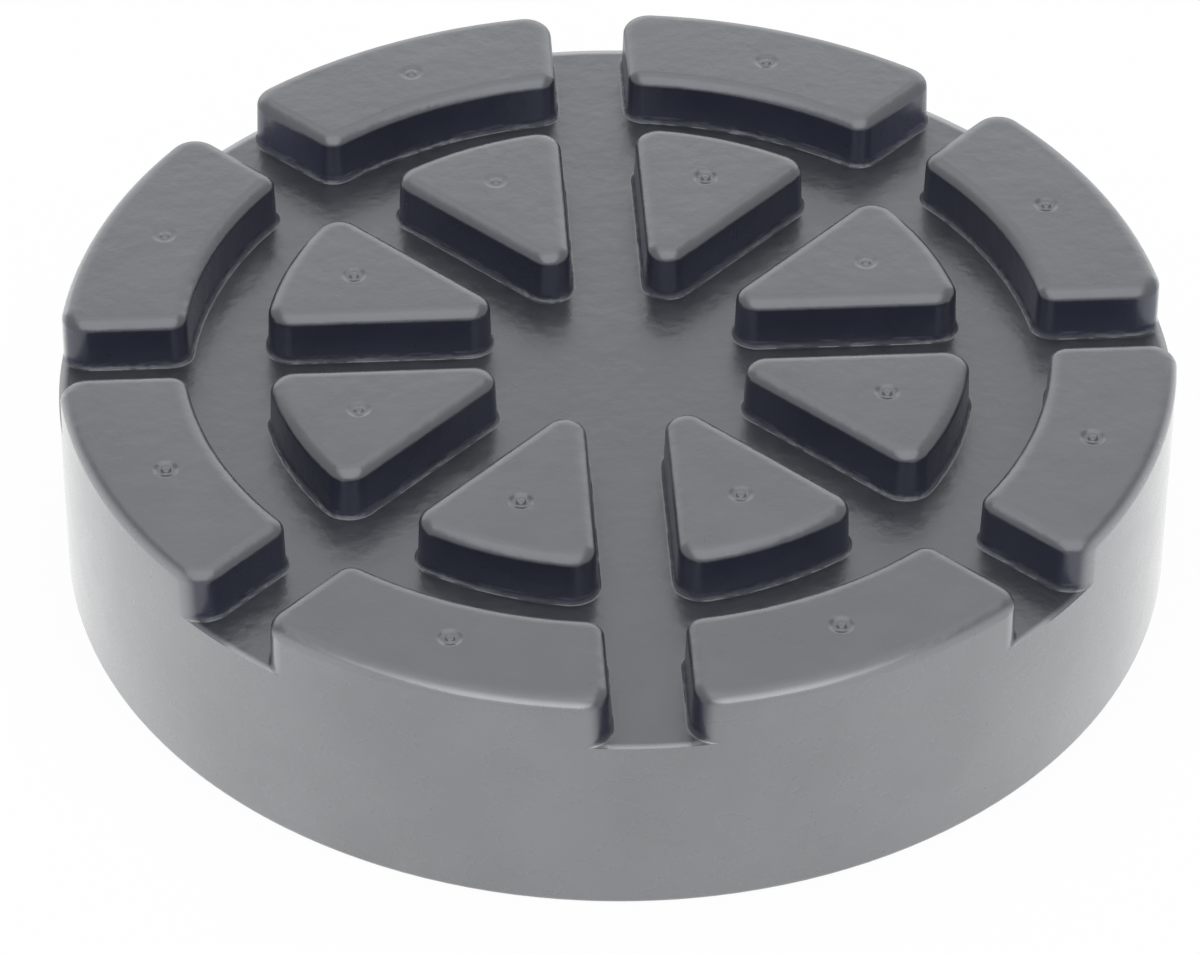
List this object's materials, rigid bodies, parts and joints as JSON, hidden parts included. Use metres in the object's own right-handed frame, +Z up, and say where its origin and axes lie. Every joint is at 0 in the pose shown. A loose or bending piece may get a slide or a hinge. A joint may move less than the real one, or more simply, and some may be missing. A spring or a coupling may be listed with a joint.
{
  "type": "lift arm rubber pad",
  "caption": "Round moulded rubber pad that seats in the cup of a vehicle lift arm, with a grip pattern of raised blocks parted by radial grooves and a ring groove.",
  "frame": {"origin": "centre of the flat underside", "axes": "+Z up along the disc's axis, towards the blocks; +X and +Y each run along a radial groove"},
  "size_m": [0.12, 0.12, 0.0272],
  "materials": {
    "rubber": "smooth moulded, semi-gloss"
  },
  "bodies": {
    "root": {"pad": "rubber"}
  },
  "joints": []
}
